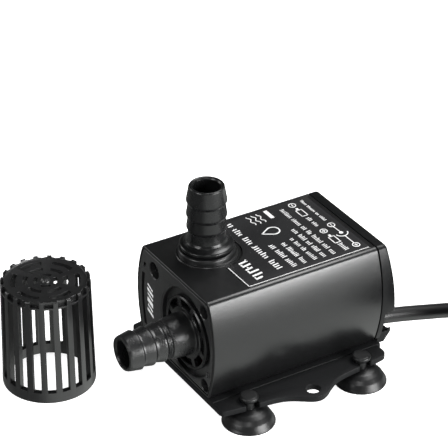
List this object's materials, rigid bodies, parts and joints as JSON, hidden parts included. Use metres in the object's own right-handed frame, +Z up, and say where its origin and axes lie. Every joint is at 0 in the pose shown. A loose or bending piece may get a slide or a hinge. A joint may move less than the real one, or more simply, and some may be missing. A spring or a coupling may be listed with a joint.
{
  "type": "fountain submersible pump",
  "caption": "Small submersible fountain pump with barbed inlet and outlet, base plate on suction cups, lift-off strainer cage and a coiled low-voltage lead.",
  "frame": {"origin": "centre of the base plate's flat underside, on the line between its two ear holes; the suction cups' rims are 4.4 mm below it", "axes": "+Z up, along the outlet; -Y is the way the inlet points; the lead leaves towards +Y; +X is right, seen from the inlet side"},
  "size_m": [0.1024, 0.1613, 0.054],
  "materials": {
    "housing_plastic": "satin moulded near-black",
    "cover_plastic": "fine satin moulded near-black",
    "plate_plastic": "matt moulded black",
    "label_face": null,
    "fitting_plastic": "semi-gloss moulded black",
    "rubber": "soft black seal rubber",
    "steel": "bright zinc-plated steel",
    "rotor_plastic": "off-white moulded plastic",
    "ferrite": "dark grey sintered magnet",
    "ceramic": "polished white ceramic",
    "electrical_steel": "stamped steel sheet",
    "copper": "enamelled copper winding",
    "circuit_board": "green solder mask",
    "chip": "black moulded package",
    "wire_red": "red insulation",
    "wire_black": "black insulation",
    "cup_rubber": "smooth dark rubber with a soft sheen",
    "strainer_plastic": "satin moulded near-black",
    "cable_sheath": "matt black cable sheath",
    "tie_plastic": "black strap",
    "plug_plastic": "matt black overmoulding"
  },
  "bodies": {
    "pump": {"housing": "housing_plastic", "front_cover": "cover_plastic", "rear_cover": "housing_plastic", "base_plate": "plate_plastic", "label_plate": "label_face", "outlet_o_ring": "rubber", "cover_gasket": "rubber", "cover_screw_top_left": "steel", "cover_screw_top_right": "steel", "cover_screw_bottom_left": "steel", "cover_screw_bottom_right": "steel", "shaft": "ceramic", "front_bush": "rubber", "front_thrust_washer": "ceramic", "rear_thrust_washer": "ceramic", "rear_bush": "rubber", "stator_core": "electrical_steel", "stator_coil_1": "copper", "stator_coil_2": "copper", "stator_coil_3": "copper", "stator_coil_4": "copper", "circuit_board": "circuit_board", "driver_chip": "chip", "hall_sensor": "chip", "smoothing_capacitor": "electrical_steel", "positive_wire": "wire_red", "negative_wire": "wire_black", "cable_gland": "rubber", "cable_lead": "cable_sheath", "cable_coil": "cable_sheath", "cable_tail": "cable_sheath", "cable_tie": "tie_plastic", "plug_body": "plug_plastic", "plug_centre_pin": "steel"},
    "rotor": {"impeller": "rotor_plastic", "rotor_magnet": "ferrite"},
    "outlet": {"outlet_fitting": "fitting_plastic"},
    "inlet": {"inlet_fitting": "fitting_plastic"},
    "strainer_cage": {"strainer": "strainer_plastic"},
    "cup_front_left": {"suction_cup_front_left": "cup_rubber"},
    "cup_front_right": {"suction_cup_front_right": "cup_rubber"},
    "cup_rear_left": {"suction_cup_rear_left": "cup_rubber"},
    "cup_rear_right": {"suction_cup_rear_right": "cup_rubber"}
  },
  "joints": [
    {"name": "rotor_spin", "type": "hinge", "parent": "pump", "child": "rotor", "pos_m": [0.005, -0.01, 0.0152], "axis": [0, 1, 0], "continuous": true},
    {"name": "outlet_lift", "type": "slide", "parent": "pump", "child": "outlet", "axis": [0, 0, 1], "range_m": [0, 0.008]},
    {"name": "inlet_pull", "type": "slide", "parent": "pump", "child": "inlet", "axis": [0, -1, 0], "range_m": [0, 0.012]},
    {"name": "strainer_lift", "type": "slide", "parent": "pump", "child": "strainer_cage", "axis": [0, 0, 1], "range_m": [0, 0.03]},
    {"name": "cup_front_left_pull", "type": "slide", "parent": "pump", "child": "cup_front_left", "axis": [-1, 0, 0], "range_m": [0, 0.006]},
    {"name": "cup_front_right_pull", "type": "slide", "parent": "pump", "child": "cup_front_right", "axis": [1, 0, 0], "range_m": [0, 0.006]},
    {"name": "cup_rear_left_pull", "type": "slide", "parent": "pump", "child": "cup_rear_left", "axis": [-1, 0, 0], "range_m": [0, 0.006]},
    {"name": "cup_rear_right_pull", "type": "slide", "parent": "pump", "child": "cup_rear_right", "axis": [1, 0, 0], "range_m": [0, 0.006]}
  ]
}
